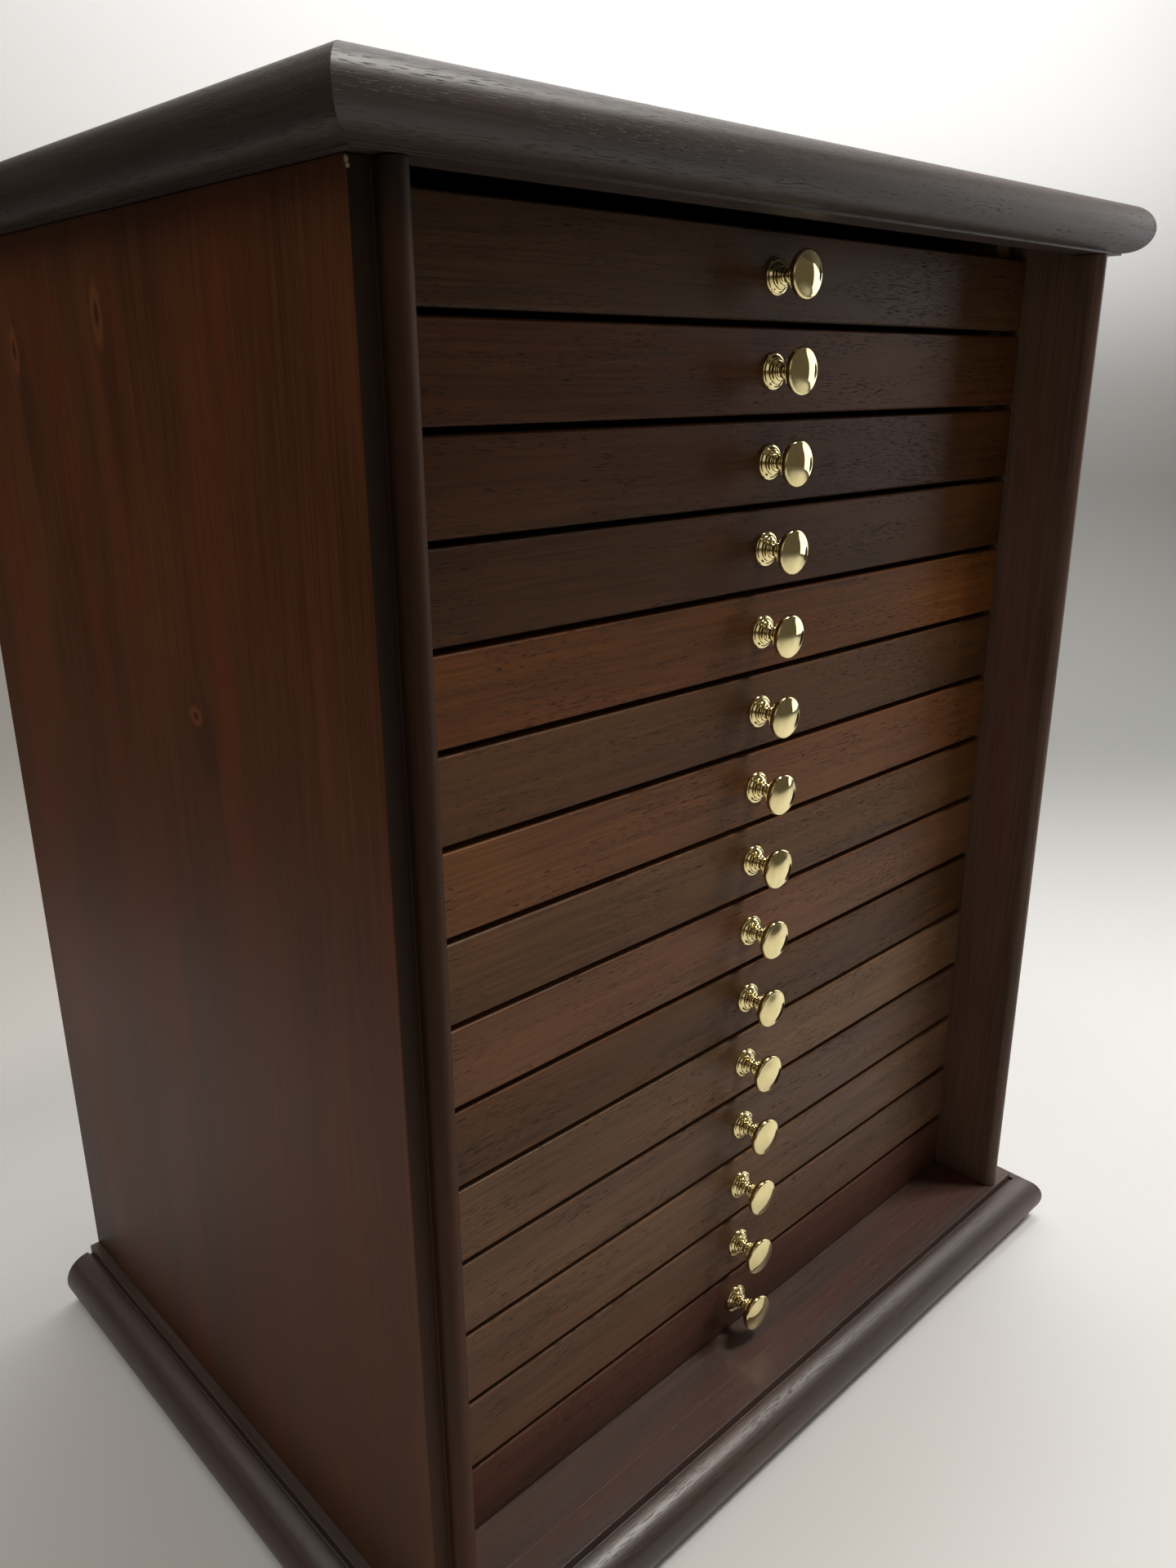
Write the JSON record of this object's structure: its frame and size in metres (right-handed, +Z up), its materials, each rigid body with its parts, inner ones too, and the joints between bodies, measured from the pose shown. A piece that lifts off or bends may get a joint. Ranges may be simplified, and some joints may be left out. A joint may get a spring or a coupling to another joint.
{
  "type": "coin cabinet",
  "caption": "Open-fronted wooden coin cabinet with a stack of shallow drawers on grooved runners, mitred bullnose mouldings at top and base, and turned brass knobs.",
  "frame": {"origin": "middle of the width and depth, on the surface that the cabinet stands on", "axes": "+Z up, the drawers open towards -Y, +X to the right seen from the front"},
  "size_m": [0.4154, 0.3086, 0.5105],
  "materials": {
    "side_wood": "dark walnut stain on pine, satin",
    "moulding_wood": "dark walnut stain, satin",
    "board_wood": "dark walnut stain, satin",
    "front_wood": "dark walnut, open pores, satin",
    "back_wood": "stained plywood",
    "guide_wood": "plain beech, waxed",
    "tray_wood": "plain light wood, lined with felt",
    "knob_brass": "polished"
  },
  "bodies": {
    "case": {"top_board": "board_wood", "top_moulding_front": "moulding_wood", "top_moulding_left": "moulding_wood", "top_moulding_right": "moulding_wood", "base_board": "board_wood", "base_moulding_front": "moulding_wood", "base_moulding_left": "moulding_wood", "base_moulding_right": "moulding_wood", "side_left": "side_wood", "side_right": "side_wood", "back_panel": "back_wood", "guide_left": "guide_wood", "guide_right": "guide_wood"},
    "drawer_01": {"drawer_01_front": "front_wood", "drawer_01_tray": "tray_wood", "drawer_01_knob": "knob_brass"},
    "drawer_02": {"drawer_02_front": "front_wood", "drawer_02_tray": "tray_wood", "drawer_02_knob": "knob_brass"},
    "drawer_03": {"drawer_03_front": "front_wood", "drawer_03_tray": "tray_wood", "drawer_03_knob": "knob_brass"},
    "drawer_04": {"drawer_04_front": "front_wood", "drawer_04_tray": "tray_wood", "drawer_04_knob": "knob_brass"},
    "drawer_05": {"drawer_05_front": "front_wood", "drawer_05_tray": "tray_wood", "drawer_05_knob": "knob_brass"},
    "drawer_06": {"drawer_06_front": "front_wood", "drawer_06_tray": "tray_wood", "drawer_06_knob": "knob_brass"},
    "drawer_07": {"drawer_07_front": "front_wood", "drawer_07_tray": "tray_wood", "drawer_07_knob": "knob_brass"},
    "drawer_08": {"drawer_08_front": "front_wood", "drawer_08_tray": "tray_wood", "drawer_08_knob": "knob_brass"},
    "drawer_09": {"drawer_09_front": "front_wood", "drawer_09_tray": "tray_wood", "drawer_09_knob": "knob_brass"},
    "drawer_10": {"drawer_10_front": "front_wood", "drawer_10_tray": "tray_wood", "drawer_10_knob": "knob_brass"},
    "drawer_11": {"drawer_11_front": "front_wood", "drawer_11_tray": "tray_wood", "drawer_11_knob": "knob_brass"},
    "drawer_12": {"drawer_12_front": "front_wood", "drawer_12_tray": "tray_wood", "drawer_12_knob": "knob_brass"},
    "drawer_13": {"drawer_13_front": "front_wood", "drawer_13_tray": "tray_wood", "drawer_13_knob": "knob_brass"},
    "drawer_14": {"drawer_14_front": "front_wood", "drawer_14_tray": "tray_wood", "drawer_14_knob": "knob_brass"},
    "drawer_15": {"drawer_15_front": "front_wood", "drawer_15_tray": "tray_wood", "drawer_15_knob": "knob_brass"}
  },
  "joints": [
    {"name": "drawer_01_slide", "type": "slide", "parent": "case", "child": "drawer_01", "axis": [0, -1, 0], "range_m": [0, 0.2]},
    {"name": "drawer_02_slide", "type": "slide", "parent": "case", "child": "drawer_02", "axis": [0, -1, 0], "range_m": [0, 0.2]},
    {"name": "drawer_03_slide", "type": "slide", "parent": "case", "child": "drawer_03", "axis": [0, -1, 0], "range_m": [0, 0.2]},
    {"name": "drawer_04_slide", "type": "slide", "parent": "case", "child": "drawer_04", "axis": [0, -1, 0], "range_m": [0, 0.2]},
    {"name": "drawer_05_slide", "type": "slide", "parent": "case", "child": "drawer_05", "axis": [0, -1, 0], "range_m": [0, 0.2]},
    {"name": "drawer_06_slide", "type": "slide", "parent": "case", "child": "drawer_06", "axis": [0, -1, 0], "range_m": [0, 0.2]},
    {"name": "drawer_07_slide", "type": "slide", "parent": "case", "child": "drawer_07", "axis": [0, -1, 0], "range_m": [0, 0.2]},
    {"name": "drawer_08_slide", "type": "slide", "parent": "case", "child": "drawer_08", "axis": [0, -1, 0], "range_m": [0, 0.2]},
    {"name": "drawer_09_slide", "type": "slide", "parent": "case", "child": "drawer_09", "axis": [0, -1, 0], "range_m": [0, 0.2]},
    {"name": "drawer_10_slide", "type": "slide", "parent": "case", "child": "drawer_10", "axis": [0, -1, 0], "range_m": [0, 0.2]},
    {"name": "drawer_11_slide", "type": "slide", "parent": "case", "child": "drawer_11", "axis": [0, -1, 0], "range_m": [0, 0.2]},
    {"name": "drawer_12_slide", "type": "slide", "parent": "case", "child": "drawer_12", "axis": [0, -1, 0], "range_m": [0, 0.2]},
    {"name": "drawer_13_slide", "type": "slide", "parent": "case", "child": "drawer_13", "axis": [0, -1, 0], "range_m": [0, 0.2]},
    {"name": "drawer_14_slide", "type": "slide", "parent": "case", "child": "drawer_14", "axis": [0, -1, 0], "range_m": [0, 0.2]},
    {"name": "drawer_15_slide", "type": "slide", "parent": "case", "child": "drawer_15", "axis": [0, -1, 0], "range_m": [0, 0.2]}
  ]
}
